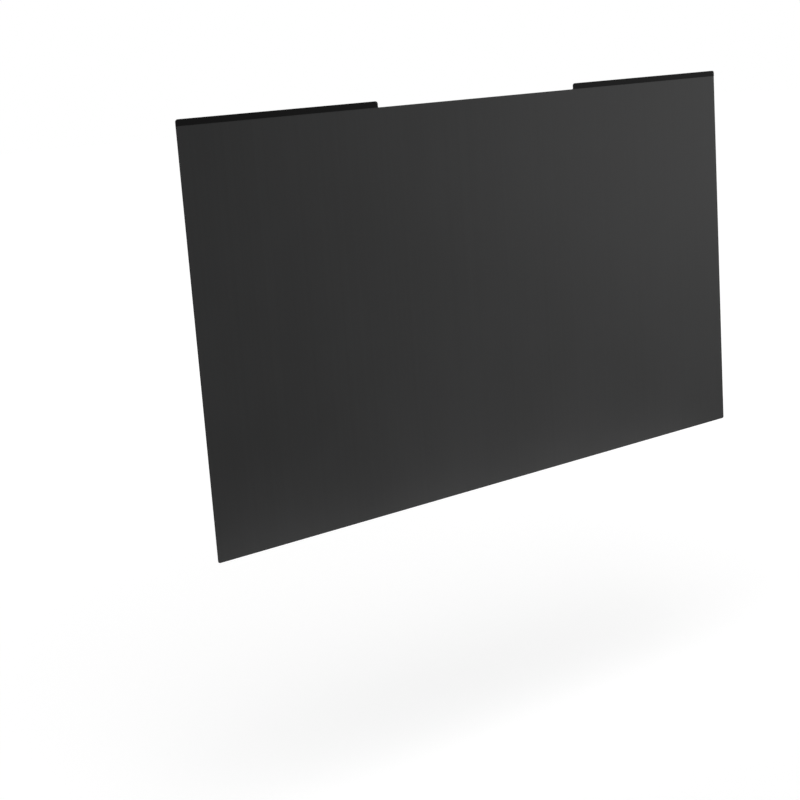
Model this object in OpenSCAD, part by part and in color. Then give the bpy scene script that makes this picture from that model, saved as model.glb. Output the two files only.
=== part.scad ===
// Privacy filter for a desktop screen: a dark louvred sheet that hangs in front
// of the screen from two narrow magnetic strips along its top edge.
// X runs across the sheet, Y from its front to its back, Z up.
// The origin is the centre of the whole filter's bounding box.

/* [Sheet] */
// Width of the sheet, side to side
sheet_w = 531; // [290:1:700]
// Height of the sheet, up to the top edge between the ears
sheet_h = 299; // [180:1:420]
// Thickness of the laminated sheet
sheet_t = 0.6; // [0.4:0.05:1.2]
// Radius of the two bottom corners
bottom_corner_r = 1.5; // [0.5:0.1:6]

/* [Ears] */
// How far the two ears stand above the top edge
ear_h = 4.5; // [4:0.1:12]
// Clear width between the ears, where a camera looks out
camera_gap_w = 196; // [40:1:240]
// Radius of the ears' top corners
ear_corner_r = 2; // [0.5:0.1:2.8]
// Radius of the fillet where an ear rises from the top edge
foot_fillet_r = 0.8; // [0.2:0.1:1.2]

/* [Cover strips] */
// Thickness of the black strip on the front of each ear
cover_t = 0.2; // [0.1:0.05:0.5]

/* [Magnets] */
// Thickness of the flexible magnet behind each ear
magnet_t = 0.8; // [0.5:0.1:1.5]
// Distance from a magnet's ends to the ear's ends
magnet_end_inset = 1.5; // [1:0.1:5]
// Distance from a magnet's long edges to the ear's top and foot
magnet_edge_inset = 0.5; // [0.3:0.1:1.2]

/* [Hidden] */
$fn = 48;

ear_len = (sheet_w - camera_gap_w) / 2;
ear_root = 10;
overall_h = sheet_h + ear_h;
overall_t = cover_t + sheet_t + magnet_t;

side_x = sheet_w / 2;
bottom_z = -overall_h / 2;
top_edge_z = bottom_z + sheet_h;

cover_front_y = -overall_t / 2;
sheet_front_y = cover_front_y + cover_t;
sheet_back_y = sheet_front_y + sheet_t;

sheet_colour = [0.2, 0.2, 0.21];
cover_colour = [0.08, 0.08, 0.08];
magnet_colour = [0.24, 0.21, 0.19];

// Stands a flat outline upright, from depth y_front back by thickness t.
module upright(y_front, t) {
  translate([0, y_front + t, 0])
    rotate([90, 0, 0])
      linear_extrude(height = t)
        children();
}

// A bar from the origin along +X, with its two upper corners rounded.
module round_topped_bar(length, height, r) {
  square([length, height - r]);
  translate([r, 0])
    square([length - 2 * r, height]);
  for (x = [r, length - r])
    translate([x, height - r])
      circle(r = r);
}

// A concave fillet in the corner between +X and +Y.
module corner_fillet(r) {
  difference() {
    square(r);
    translate([r, r])
      circle(r = r);
  }
}

// The sheet below its ears, with its bottom corners rounded.
module panel_outline() {
  translate([-side_x, top_edge_z])
    mirror([0, 1])
      round_topped_bar(sheet_w, sheet_h, bottom_corner_r);
}

// The part of the left ear that shows above the top edge, moved down by
// root so that it can grow out of the sheet.
module left_ear_outline(root = 0) {
  translate([-side_x, top_edge_z - root])
    round_topped_bar(ear_len, ear_h + root, ear_corner_r);
}

// The left ear with its root in the sheet and the fillet at its inner foot.
module rooted_left_ear_outline() {
  left_ear_outline(root = ear_root);
  translate([-side_x + ear_len, top_edge_z])
    corner_fillet(foot_fillet_r);
}

// The flexible magnet behind the left ear, inset so that the ear hides it.
module left_magnet_outline() {
  translate([-side_x + magnet_end_inset, top_edge_z + magnet_edge_inset])
    square([ear_len - 2 * magnet_end_inset, ear_h - 2 * magnet_edge_inset]);
}

// One laminated sheet, cut in one go with its two ears.
module privacy_sheet() {
  color(sheet_colour)
    upright(sheet_front_y, sheet_t) {
      panel_outline();
      rooted_left_ear_outline();
      mirror([1, 0])
        rooted_left_ear_outline();
    }
}

module left_cover_strip() {
  color(cover_colour)
    upright(cover_front_y, cover_t)
      left_ear_outline();
}

module right_cover_strip() {
  mirror([1, 0, 0])
    left_cover_strip();
}

module left_magnet() {
  color(magnet_colour)
    upright(sheet_back_y, magnet_t)
      left_magnet_outline();
}

module right_magnet() {
  mirror([1, 0, 0])
    left_magnet();
}

privacy_sheet();
left_cover_strip();
right_cover_strip();
left_magnet();
right_magnet();
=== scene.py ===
"""Looks of the monitor privacy filter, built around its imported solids.

The solids give every shape. This script gives each piece its finish, and sets
up a plain pale studio with the camera at the photograph's viewing angle.
"""

import logging
import math
from collections.abc import Mapping
from dataclasses import dataclass, field
from enum import Enum
from typing import Any, Protocol

import bpy
from mathutils import Matrix, Vector


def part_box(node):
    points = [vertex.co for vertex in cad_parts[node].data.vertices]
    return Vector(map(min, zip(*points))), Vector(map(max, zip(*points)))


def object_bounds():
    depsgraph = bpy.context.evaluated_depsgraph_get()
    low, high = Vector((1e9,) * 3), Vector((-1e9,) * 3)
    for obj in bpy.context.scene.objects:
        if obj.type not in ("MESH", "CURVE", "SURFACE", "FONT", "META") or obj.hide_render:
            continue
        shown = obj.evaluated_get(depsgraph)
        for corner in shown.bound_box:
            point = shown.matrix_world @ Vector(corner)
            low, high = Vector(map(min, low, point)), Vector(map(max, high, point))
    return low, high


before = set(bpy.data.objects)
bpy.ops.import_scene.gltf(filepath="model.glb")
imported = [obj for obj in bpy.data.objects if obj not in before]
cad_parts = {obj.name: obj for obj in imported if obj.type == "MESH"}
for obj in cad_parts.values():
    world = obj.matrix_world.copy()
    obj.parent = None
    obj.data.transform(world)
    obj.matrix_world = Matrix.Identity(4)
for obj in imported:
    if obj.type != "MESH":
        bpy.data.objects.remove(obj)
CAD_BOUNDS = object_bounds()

LOG = logging.getLogger("privacy_filter")
MM = 0.001
NOISE_MEAN = 0.5

Colour = tuple[float, float, float]
WHITE: Colour = (1.0, 1.0, 1.0)


class Side(Enum):
    """The two faces of the sheet, by the way they look along Y."""

    FRONT = -1.0
    BACK = 1.0


class Signal:
    """One shader value, which arithmetic expressions turn into Math nodes."""

    def __init__(self, bench: "ShaderBench", socket: bpy.types.NodeSocket) -> None:
        """Wraps a socket.

        Args:
            bench: The bench that the new Math nodes are added on.
            socket: The output socket that carries the value.
        """
        self.bench = bench
        self.socket = socket

    def _math(self, operation: str, *values: Any) -> "Signal":
        """Adds one Math node.

        Args:
            operation: The Math node's operation.
            values: Signals or numbers for its sockets, in order.

        Returns:
            The node's result.
        """
        node = self.bench.node("ShaderNodeMath", {"operation": operation}, dict(enumerate(values)))
        return Signal(self.bench, node.outputs[0])

    def __add__(self, other: Any) -> "Signal":
        """Returns self + other."""
        return self._math("ADD", self, other)

    def __radd__(self, other: Any) -> "Signal":
        """Returns other + self."""
        return self._math("ADD", other, self)

    def __sub__(self, other: Any) -> "Signal":
        """Returns self - other."""
        return self._math("SUBTRACT", self, other)

    def __rsub__(self, other: Any) -> "Signal":
        """Returns other - self."""
        return self._math("SUBTRACT", other, self)

    def __mul__(self, other: Any) -> "Signal":
        """Returns self * other."""
        return self._math("MULTIPLY", self, other)

    def __rmul__(self, other: Any) -> "Signal":
        """Returns other * self."""
        return self._math("MULTIPLY", other, self)

    def above(self, limit: float) -> "Signal":
        """Returns 1 where self is over the limit, and 0 elsewhere."""
        return self._math("GREATER_THAN", self, limit)

    def as_switch(self) -> "Signal":
        """Returns 1 where self is over a half, and 0 elsewhere."""
        return self.above(0.5)


class ShaderBench:
    """The node tree of one material or world, and the one way to add nodes to it."""

    def __init__(self, tree: bpy.types.NodeTree) -> None:
        """Starts on an empty tree.

        Args:
            tree: The node tree to fill.
        """
        self.tree = tree
        tree.nodes.clear()

    def node(
        self,
        kind: str,
        settings: Mapping[str, Any] | None = None,
        inputs: Mapping[str | int, Any] | None = None,
    ) -> bpy.types.Node:
        """Adds a node, sets it up and feeds its sockets.

        Args:
            kind: The node's type.
            settings: Its settings, which are set before its sockets.
            inputs: Sockets by name or place, each with what feeds it.

        Returns:
            The new node.
        """
        node = self.tree.nodes.new(kind)
        for name, value in (settings or {}).items():
            setattr(node, name, value)
        for key, value in (inputs or {}).items():
            self.feed(node.inputs[key], value)
        return node

    def feed(self, socket: bpy.types.NodeSocket, value: Any) -> None:
        """Feeds an input socket.

        Args:
            socket: The input socket.
            value: A Signal, an output socket, a colour, or the socket's plain value.
        """
        source = value.socket if isinstance(value, Signal) else value
        if isinstance(source, bpy.types.NodeSocket):
            self.tree.links.new(source, socket)
        elif isinstance(source, tuple):
            socket.default_value = (*source, 1.0)
        else:
            socket.default_value = source

    def signal(self, node: bpy.types.Node, output: str | int = 0) -> Signal:
        """Returns one output of a node as a Signal."""
        return Signal(self, node.outputs[output])

    def position(self) -> bpy.types.NodeSocket:
        """Returns the place on the piece, in metres in the filter's own frame."""
        return self.node("ShaderNodeTexCoord").outputs["Object"]

    def facing(self) -> bpy.types.NodeSocket:
        """Returns the direction that the piece's own surface faces."""
        return self.node("ShaderNodeTexCoord").outputs["Normal"]

    def axes(self, vector: bpy.types.NodeSocket) -> tuple[Signal, Signal, Signal]:
        """Splits a vector into its X, Y and Z.

        Args:
            vector: The vector to split.

        Returns:
            The three values.
        """
        split = self.node("ShaderNodeSeparateXYZ", inputs={"Vector": vector})
        return self.signal(split, "X"), self.signal(split, "Y"), self.signal(split, "Z")

    def length(self, vector: bpy.types.NodeSocket) -> Signal:
        """Measures a vector.

        Args:
            vector: The vector to measure.

        Returns:
            Its length.
        """
        node = self.node("ShaderNodeVectorMath", {"operation": "LENGTH"}, {0: vector})
        return self.signal(node, "Value")

    def noise(self, stretch: Vector, detail: float, offset: float = 0.0) -> Signal:
        """Adds a noise with its own size of grain along each axis.

        Args:
            stretch: Grains per metre along X, Y and Z.
            detail: How many finer layers the noise has.
            offset: Where in the noise to look, so that two noises differ.

        Returns:
            The noise, from 0 to 1 with a mean near a half.
        """
        placed = self.node(
            "ShaderNodeVectorMath",
            {"operation": "MULTIPLY_ADD"},
            {0: self.position(), 1: stretch, 2: Vector((offset, offset, offset))},
        )
        noise = self.node(
            "ShaderNodeTexNoise",
            {"noise_dimensions": "3D"},
            {"Vector": placed.outputs[0], "Scale": 1.0, "Detail": detail},
        )
        return self.signal(noise, "Fac")

    def ramp(
        self, value: Signal, low: float, high: float, start: float = 0.0, end: float = 1.0
    ) -> Signal:
        """Maps a value smoothly from one range to another.

        Args:
            value: The value to map.
            low: Where the ramp starts.
            high: Where the ramp ends.
            start: The result at low.
            end: The result at high.

        Returns:
            The mapped value, held between start and end.
        """
        mapped = self.node(
            "ShaderNodeMapRange",
            {"interpolation_type": "SMOOTHSTEP"},
            {"Value": value, "From Min": low, "From Max": high, "To Min": start, "To Max": end},
        )
        return self.signal(mapped, "Result")

    def blend(self, factor: Signal, first: Any, second: Any) -> bpy.types.NodeSocket:
        """Mixes two colours.

        Args:
            factor: 0 for the first colour and 1 for the second.
            first: A colour or a colour socket.
            second: A colour or a colour socket.

        Returns:
            The mixed colour.
        """
        mix = self.node("ShaderNodeMix", {"data_type": "RGBA"})
        sockets = {socket.identifier: socket for socket in mix.inputs}
        self.feed(sockets["Factor_Float"], factor)
        self.feed(sockets["A_Color"], first)
        self.feed(sockets["B_Color"], second)
        return next(s for s in mix.outputs if s.identifier == "Result_Color")

    def bump(self, height: Signal, depth: float) -> bpy.types.NodeSocket:
        """Turns a height into a tilt of the surface.

        Args:
            height: The height, as a share of depth.
            depth: How far the highest point stands above the lowest, in metres.

        Returns:
            The tilted normal.
        """
        bump = self.node("ShaderNodeBump", inputs={"Distance": depth, "Height": height})
        return bump.outputs["Normal"]

    def plastic(
        self,
        colour: bpy.types.NodeSocket,
        roughness: Signal,
        gloss_level: float,
        normal: bpy.types.NodeSocket,
    ) -> bpy.types.Node:
        """Adds the shader of a plastic or rubber surface.

        Args:
            colour: Its colour.
            roughness: Its roughness, from 0 to 1.
            gloss_level: Its specular level, where 0.5 is a clear smooth plastic.
            normal: Its tilted normal.

        Returns:
            The shader's node.
        """
        return self.node(
            "ShaderNodeBsdfPrincipled",
            inputs={
                "Base Color": colour,
                "Roughness": roughness,
                "Specular IOR Level": gloss_level,
                "Normal": normal,
            },
        )

    def mix(self, factor: Signal, first: bpy.types.Node, second: bpy.types.Node) -> bpy.types.Node:
        """Mixes two shaders.

        Args:
            factor: 0 for the first shader and 1 for the second.
            first: The first shader's node.
            second: The second shader's node.

        Returns:
            The mixing node.
        """
        inputs = {0: factor, 1: first.outputs[0], 2: second.outputs[0]}
        return self.node("ShaderNodeMixShader", inputs=inputs)

    def show(self, shader: bpy.types.Node, output: str = "ShaderNodeOutputMaterial") -> None:
        """Makes a shader the surface of the material, or of the world by its output."""
        self.node(output, inputs={"Surface": shader.outputs[0]})


def new_material(name: str) -> tuple[bpy.types.Material, ShaderBench]:
    """Makes an empty material.

    Args:
        name: The finish's plain name.

    Returns:
        The material and the bench for its nodes.
    """
    material = bpy.data.materials.new(name)
    material.use_nodes = True
    return material, ShaderBench(material.node_tree)


def dress(node: str, material: bpy.types.Material) -> None:
    """Gives a CAD piece its finish.

    Args:
        node: The piece's name in the frame.
        material: The finish for its material slot.
    """
    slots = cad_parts[node].data.materials
    if slots:
        slots[0] = material
    else:
        slots.append(material)
    LOG.info("%s: %s", node, material.name)


class Finish(Protocol):
    """A surface finish that can be made into a material."""

    def build(self) -> bpy.types.Material:
        """Makes the material."""


@dataclass(frozen=True)
class LouvreFilmFinish:
    """Near-black louvre film: anti-glare in front, smooth behind, dull where it is cut."""

    ink: Colour = (0.0045, 0.0046, 0.0047)
    haze: Colour = (0.0080, 0.0082, 0.0084)
    cut_core: Colour = (0.0015, 0.0015, 0.0015)
    cut_skin: Colour = (0.0060, 0.0061, 0.0063)
    skin_thickness: float = 0.12 * MM
    gloss_level: float = 0.17
    cut_gloss_level: float = 0.03
    front_roughness: float = 0.46
    back_roughness: float = 0.16
    cut_roughness: float = 0.7
    roughness_spread: float = 0.05
    cloud: Vector = field(default_factory=lambda: Vector((9.0, 9.0, 9.0)))
    louvre_bands: Vector = field(default_factory=lambda: Vector((420.0, 1.0, 0.8)))
    band_share: float = 0.25
    tone_span: tuple[float, float] = (0.3, 0.7)
    grain: Vector = field(default_factory=lambda: Vector((2600.0, 2600.0, 2600.0)))
    grain_depth: float = 0.008 * MM
    band_relief: float = 0.1
    back_polish: float = 0.9

    def build(self) -> bpy.types.Material:
        """Makes the material.

        Returns:
            The finished material.
        """
        material, bench = new_material("louvre_film")
        is_front = self._on_side(bench, Side.FRONT)
        is_back = self._on_side(bench, Side.BACK)
        is_cut = 1 - (is_front + is_back)

        cloud = bench.noise(self.cloud, detail=2.0)
        bands = bench.noise(self.louvre_bands, detail=3.0, offset=7.3)
        grain = bench.noise(self.grain, detail=1.0, offset=2.1)

        mottle = (1 - self.band_share) * cloud + self.band_share * bands
        face_colour = bench.blend(bench.ramp(mottle, *self.tone_span), self.ink, self.haze)
        cut_colour = bench.blend(self._in_skin(bench), self.cut_core, self.cut_skin)

        face_roughness = self.front_roughness * is_front + self.back_roughness * is_back
        unevenness = (cloud - NOISE_MEAN) * self.roughness_spread
        roughness = face_roughness + self.cut_roughness * is_cut + unevenness
        height = (grain + self.band_relief * bands) * (1 - self.back_polish * is_back)
        normal = bench.bump(height, self.grain_depth)

        face = bench.plastic(face_colour, roughness, self.gloss_level, normal)
        cut = bench.plastic(cut_colour, roughness, self.cut_gloss_level, normal)
        bench.show(bench.mix(is_cut, face, cut))
        return material

    def _on_side(self, bench: ShaderBench, side: Side) -> Signal:
        """Tells one face of the sheet from the rest of it.

        Args:
            bench: The bench of the film's material.
            side: The face.

        Returns:
            1 on that face and 0 elsewhere.
        """
        _, towards_back, _ = bench.axes(bench.facing())
        return (towards_back * side.value).as_switch()

    def _in_skin(self, bench: ShaderBench) -> Signal:
        """Tells the two clear skins of the laminate from the louvres between them.

        Args:
            bench: The bench of the film's material.

        Returns:
            1 in a skin and 0 in the louvred core.
        """
        low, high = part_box("privacy_sheet")
        middle = (low.y + high.y) / 2
        core_half = (high.y - low.y) / 2 - self.skin_thickness
        _, depth, _ = bench.axes(bench.position())
        off_middle = depth - middle
        return (off_middle * off_middle).above(core_half * core_half)


@dataclass(frozen=True)
class SatinStripFinish:
    """Deep satin black plastic of the cover strips."""

    colour: Colour = (0.003, 0.003, 0.003)
    scuffed: Colour = (0.0055, 0.0055, 0.0055)
    gloss_level: float = 0.03
    roughness: float = 0.42
    roughness_spread: float = 0.1
    grain: Vector = field(default_factory=lambda: Vector((900.0, 900.0, 900.0)))
    drawn: Vector = field(default_factory=lambda: Vector((30.0, 900.0, 1400.0)))
    grain_depth: float = 0.006 * MM
    drawn_relief: float = 0.5

    def build(self) -> bpy.types.Material:
        """Makes the material.

        Returns:
            The finished material.
        """
        material, bench = new_material("satin_black_strip")
        grain = bench.noise(self.grain, detail=2.0)
        drawn = bench.noise(self.drawn, detail=2.0, offset=4.7)
        height = (1 - self.drawn_relief) * grain + self.drawn_relief * drawn
        colour = bench.blend(drawn, self.colour, self.scuffed)
        roughness = self.roughness + (drawn - NOISE_MEAN) * self.roughness_spread
        normal = bench.bump(height, self.grain_depth)
        bench.show(bench.plastic(colour, roughness, self.gloss_level, normal))
        return material


@dataclass(frozen=True)
class FlexibleMagnetFinish:
    """Dull brown-black rubber, filled with magnet powder and rolled lengthwise."""

    rubber: Colour = (0.026, 0.023, 0.021)
    powder: Colour = (0.06, 0.054, 0.05)
    gloss_level: float = 0.35
    roughness: float = 0.62
    roughness_spread: float = 0.16
    specks: Vector = field(default_factory=lambda: Vector((4200.0, 4200.0, 4200.0)))
    speck_share: float = 0.5
    tone_span: tuple[float, float] = (0.35, 0.7)
    rolling: Vector = field(default_factory=lambda: Vector((14.0, 600.0, 1500.0)))
    grain_depth: float = 0.012 * MM

    def build(self) -> bpy.types.Material:
        """Makes the material.

        Returns:
            The finished material.
        """
        material, bench = new_material("flexible_magnet")
        specks = bench.noise(self.specks, detail=1.0)
        rolling = bench.noise(self.rolling, detail=3.0, offset=1.9)
        height = self.speck_share * specks + (1 - self.speck_share) * rolling
        colour = bench.blend(bench.ramp(height, *self.tone_span), self.rubber, self.powder)
        roughness = self.roughness + (rolling - NOISE_MEAN) * self.roughness_spread
        normal = bench.bump(height, self.grain_depth)
        bench.show(bench.plastic(colour, roughness, self.gloss_level, normal))
        return material


@dataclass
class PiecesOfOneFinish:
    """Pieces of the filter that share one finish."""

    nodes: tuple[str, ...]
    finish: Finish

    def build(self) -> None:
        """Makes the finish once and gives it to every piece."""
        material = self.finish.build()
        for node in self.nodes:
            dress(node, material)


@dataclass
class PrivacySheet(PiecesOfOneFinish):
    """The laminated sheet with its two ears."""

    nodes: tuple[str, ...] = ("privacy_sheet",)
    finish: Finish = LouvreFilmFinish()


@dataclass
class CoverStrips(PiecesOfOneFinish):
    """The black strips on the front of the ears."""

    nodes: tuple[str, ...] = ("left_cover_strip", "right_cover_strip")
    finish: Finish = SatinStripFinish()


@dataclass
class MagnetStrips(PiecesOfOneFinish):
    """The flexible magnets behind the ears."""

    nodes: tuple[str, ...] = ("left_magnet", "right_magnet")
    finish: Finish = FlexibleMagnetFinish()


@dataclass
class Softbox:
    """A soft lamp, out of the camera's sight, that looks at the middle of the filter.

    With only_in_gloss it shows in glossy reflections, and adds no plain light.
    """

    name: str
    place: Vector
    width: float
    height: float
    power: float
    only_in_gloss: bool = False

    def build(self) -> None:
        """Adds the lamp and turns it towards the filter."""
        lamp = bpy.data.lights.new(self.name, "AREA")
        lamp.shape = "RECTANGLE"
        lamp.size = self.width
        lamp.size_y = self.height
        lamp.energy = self.power
        holder = bpy.data.objects.new(self.name, lamp)
        holder.location = self.place
        holder.rotation_euler = (-self.place).to_track_quat("-Z", "Y").to_euler()
        holder.visible_camera = False
        holder.visible_diffuse = not self.only_in_gloss
        bpy.context.scene.collection.objects.link(holder)
        LOG.info("%s: %.2f W", self.name, self.power)


@dataclass
class Studio:
    """The pale floor, the white surroundings and the soft lamps."""

    drop: float = 0.225
    reach: float = 12.0
    floor_colour: Colour = (0.86, 0.86, 0.86)
    floor_lift: float = 0.42
    lift_share_below: float = 0.6
    shadow_reach: float = 0.5
    full_lift_reach: float = 2.0
    surround: float = 0.7
    background: float = 1.0
    lamps: list[Softbox] = field(
        default_factory=lambda: [
            Softbox("overhead_softbox", Vector((-0.7, -0.6, 2.2)), width=1.8, height=1.8, power=18.0),
            Softbox("right_softbox", Vector((1.9, -1.7, 0.05)), width=1.2, height=0.7, power=11.0),
            Softbox(
                "low_strip_lamp",
                Vector((0.0, -0.07, -0.215)),
                width=0.66,
                height=0.04,
                power=0.4,
                only_in_gloss=True,
            ),
        ]
    )

    def build(self) -> None:
        """Builds the floor, the surroundings and the lamps."""
        self._build_floor()
        self._build_surroundings()
        for lamp in self.lamps:
            lamp.build()

    def _build_floor(self) -> None:
        """Lays a large flat floor below the filter, which hangs above it."""
        level = CAD_BOUNDS[0].z - self.drop
        corners = [
            (x * self.reach, y * self.reach, level)
            for x, y in ((-1, -1), (1, -1), (1, 1), (-1, 1))
        ]
        mesh = bpy.data.meshes.new("studio_floor")
        mesh.from_pydata(corners, [], [(0, 1, 2, 3)])
        floor = bpy.data.objects.new("studio_floor", mesh)
        bpy.context.scene.collection.objects.link(floor)
        mesh.materials.append(self._floor_material())
        LOG.info("studio_floor: %.3f m below the filter", self.drop)

    def _floor_material(self) -> bpy.types.Material:
        """Makes the floor's paper, which the camera sees as white with soft shadows.

        Returns:
            The finished material.
        """
        material, bench = new_material("studio_paper")
        paper = bench.node("ShaderNodeBsdfDiffuse", inputs={"Color": self.floor_colour})
        lift = bench.node("ShaderNodeEmission", inputs={"Strength": self.floor_lift})
        lifted = bench.node(
            "ShaderNodeAddShader", inputs={0: paper.outputs[0], 1: lift.outputs[0]}
        )
        distance = bench.length(bench.position())
        share = bench.ramp(
            distance, self.shadow_reach, self.full_lift_reach, start=self.lift_share_below
        )
        bench.show(bench.mix(self._seen_as_white(bench) * share, paper, lifted))
        return material

    def _build_surroundings(self) -> None:
        """Makes the world white to the camera and pale to everything else."""
        world = bpy.data.worlds.new("studio_surroundings")
        bpy.context.scene.world = world
        world.use_nodes = True
        bench = ShaderBench(world.node_tree)
        light, seen = (
            bench.node("ShaderNodeBackground", inputs={"Color": WHITE, "Strength": strength})
            for strength in (self.surround, self.background)
        )
        shader = bench.mix(self._seen_as_white(bench), light, seen)
        bench.show(shader, output="ShaderNodeOutputWorld")

    def _seen_as_white(self, bench: ShaderBench) -> Signal:
        """Tells the rays that show the background from those that light the filter.

        Args:
            bench: The bench of the floor's material or of the world.

        Returns:
            1 for what is seen straight, in a gloss or through a piece, and 0 for light.
        """
        path = bench.node("ShaderNodeLightPath")
        kinds = ("Is Camera Ray", "Is Glossy Ray", "Is Transmission Ray")
        camera, glossy, transmitted = (bench.signal(path, kind) for kind in kinds)
        return (camera + glossy + transmitted).as_switch()


@dataclass
class PhotoCamera:
    """The camera at the photograph's viewing angle, placed from the sheet's front centre."""

    offset: Vector = field(default_factory=lambda: Vector((-0.8108, -0.9196, 0.1818)))
    azimuth: float = -37.82
    elevation: float = 11.98
    roll: float = -4.10
    lens: float = 72.0
    sensor: float = 36.0
    clip: tuple[float, float] = (0.05, 60.0)

    def build(self) -> None:
        """Adds the camera and makes it the scene's own."""
        data = bpy.data.cameras.new("photo_camera")
        data.lens = self.lens
        data.sensor_width = self.sensor
        data.clip_start, data.clip_end = self.clip
        camera = bpy.data.objects.new("photo_camera", data)
        turn = (
            Matrix.Rotation(math.radians(self.azimuth), 4, "Z")
            @ Matrix.Rotation(math.radians(90.0 - self.elevation), 4, "X")
            @ Matrix.Rotation(math.radians(self.roll), 4, "Z")
        )
        camera.matrix_world = Matrix.Translation(self._sheet_centre() + self.offset) @ turn
        bpy.context.scene.collection.objects.link(camera)
        bpy.context.scene.camera = camera
        LOG.info("photo_camera: %.1f mm lens", self.lens)

    def _sheet_centre(self) -> Vector:
        """Finds the middle of the sheet's front face, ears apart.

        Returns:
            The point, in metres.
        """
        low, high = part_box("privacy_sheet")
        top_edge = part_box("left_cover_strip")[0].z
        return Vector(((low.x + high.x) / 2, low.y, (low.z + top_edge) / 2))


def main() -> None:
    """Dresses the filter, then builds the studio and the camera around it."""
    logging.basicConfig(level=logging.INFO, format="%(message)s")
    for part in (PrivacySheet(), CoverStrips(), MagnetStrips(), Studio(), PhotoCamera()):
        part.build()
    bpy.context.scene.view_settings.view_transform = "Standard"


if __name__ == "__main__":
    main()
